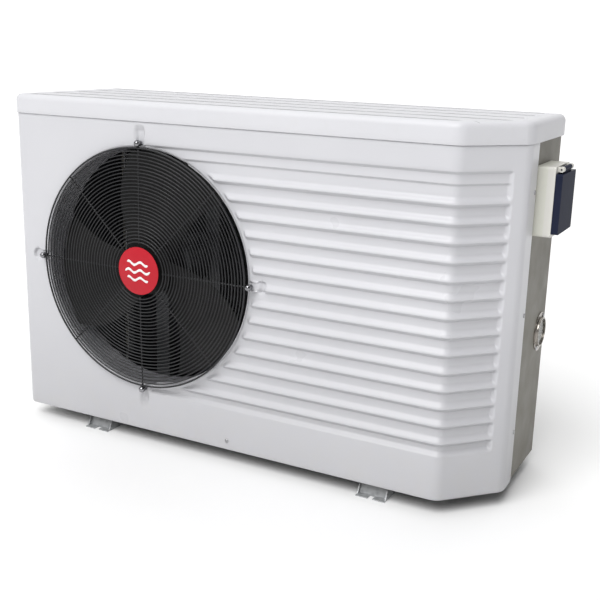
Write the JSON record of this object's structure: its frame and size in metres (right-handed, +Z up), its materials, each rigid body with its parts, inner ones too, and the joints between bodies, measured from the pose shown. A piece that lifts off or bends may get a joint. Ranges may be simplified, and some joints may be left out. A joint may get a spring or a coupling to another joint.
{
  "type": "pool heat pump unit",
  "caption": "Air-source pool heat pump: moulded ribbed casing with a round fan grille, chamfered corner, side controller with flip cover, pressure gauge and rear water unions.",
  "frame": {"origin": "on the floor, at the centre of the four anchor slots in the foot rails", "axes": "+X to the right seen from the front, +Y from the front to the back, +Z up"},
  "size_m": [1.042, 0.3772, 0.668],
  "materials": {
    "shell_white": "satin moulded plastic",
    "side_grey": "satin powder coat",
    "galvanised": "zinc spangle",
    "black_wire": "black plastic-coated wire",
    "red_badge": "glossy",
    "black_plastic": "matte",
    "steel": "machined",
    "black_nickel": "black nickel",
    "motor_grey": "satin enamel",
    "fin_aluminium": "rolled foil",
    "copper": "drawn copper",
    "compressor_black": "semi-gloss enamel",
    "rubber_black": "matte",
    "vessel_grey": "moulded",
    "titanium": "drawn",
    "pipe_white": "moulded",
    "nut_blue_grey": "moulded",
    "brass_body": "machined",
    "coil_black": "moulded",
    "board_green": "solder mask",
    "ivory_plastic": "moulded",
    "cream_plastic": "moulded",
    "lcd": "clear window",
    "smoked_cover": "smoked, glossy",
    "key_grey": "soft key",
    "chrome_trim": "bright",
    "dial_white": "printed dial",
    "needle_black": "matte",
    "clear_glass": "clear",
    "screw_zinc": "zinc plated"
  },
  "bodies": {
    "cabinet": {"accumulator": "compressor_black", "base_pan": "galvanised", "cable_glands": "rubber_black", "circuit_board": "board_green", "coil_guard": "black_wire", "compressor": "compressor_black", "compressor_bolts": "steel", "compressor_grommets": "rubber_black", "contactor": "ivory_plastic", "controller_base": "cream_plastic", "controller_body": "cream_plastic", "controller_display": "lcd", "corner_post": "side_grey", "discharge_pipe": "copper", "drain_spout": "black_plastic", "electrical_box": "galvanised", "evaporator_fins": "fin_aluminium", "evaporator_tubes": "copper", "exchanger_vessel": "vessel_grey", "expansion_valve": "brass_body", "fan_grille": "black_wire", "fan_motor": "motor_grey", "fan_shroud": "shell_white", "filter_drier": "copper", "flow_switch_body": "coil_black", "foot_rail_left": "galvanised", "foot_rail_right": "galvanised", "four_way_valve": "brass_body", "front_shell": "shell_white", "gauge_case": "chrome_trim", "gauge_dial": "dial_white", "gauge_glass": "clear_glass", "grille_badge": "red_badge", "grille_nuts": "black_nickel", "liquid_pipe": "copper", "motor_bracket": "galvanised", "panel_screws": "screw_zinc", "partition_panel": "galvanised", "rear_panel": "side_grey", "right_side_panel": "side_grey", "service_port": "brass_body", "suction_pipes": "copper", "terminal_block": "ivory_plastic", "titanium_coil": "titanium", "top_cover": "shell_white", "union_nuts": "nut_blue_grey", "valve_coil": "coil_black", "water_inlet_pipe": "pipe_white", "water_outlet_pipe": "pipe_white"},
    "fan": {"fan_blades": "black_plastic", "fan_shaft": "steel", "fan_nut": "steel"},
    "controller_lid": {"controller_cover": "smoked_cover"},
    "key_power": {"button_power": "key_grey"},
    "key_mode": {"button_mode": "key_grey"},
    "key_up": {"button_up": "key_grey"},
    "key_down": {"button_down": "key_grey"},
    "needle": {"gauge_needle": "needle_black"},
    "paddle": {"flow_switch_paddle": "titanium"},
    "spool": {"valve_slider": "brass_body"}
  },
  "joints": [
    {"name": "fan_spin", "type": "hinge", "parent": "cabinet", "child": "fan", "pos_m": [-0.183, -0.1, 0.353], "axis": [0, 1, 0], "continuous": true},
    {"name": "cover_hinge", "type": "hinge", "parent": "cabinet", "child": "controller_lid", "pos_m": [0.551, 0.0415, 0.587], "axis": [0, -1, 0], "range_deg": [0, 130]},
    {"name": "needle_turn", "type": "hinge", "parent": "cabinet", "child": "needle", "pos_m": [0.51, 0.11, 0.277], "axis": [1, 0, 0], "range_deg": [-245, 0], "stiffness_Nm_per_rad": 0.002},
    {"name": "paddle_swing", "type": "hinge", "parent": "cabinet", "child": "paddle", "pos_m": [0.4, 0.112, 0.124], "axis": [-1, 0, 0], "range_deg": [0, 25], "stiffness_Nm_per_rad": 0.01},
    {"name": "spool_slide", "type": "slide", "parent": "cabinet", "child": "spool", "axis": [1, 0, 0], "range_m": [0, 0.018]},
    {"name": "key_power_press", "type": "slide", "parent": "cabinet", "child": "key_power", "axis": [-1, 0, 0], "range_m": [0, 0.0012], "stiffness_N_per_m": 300},
    {"name": "key_mode_press", "type": "slide", "parent": "cabinet", "child": "key_mode", "axis": [-1, 0, 0], "range_m": [0, 0.0012], "stiffness_N_per_m": 300},
    {"name": "key_up_press", "type": "slide", "parent": "cabinet", "child": "key_up", "axis": [-1, 0, 0], "range_m": [0, 0.0012], "stiffness_N_per_m": 300},
    {"name": "key_down_press", "type": "slide", "parent": "cabinet", "child": "key_down", "axis": [-1, 0, 0], "range_m": [0, 0.0012], "stiffness_N_per_m": 300}
  ]
}
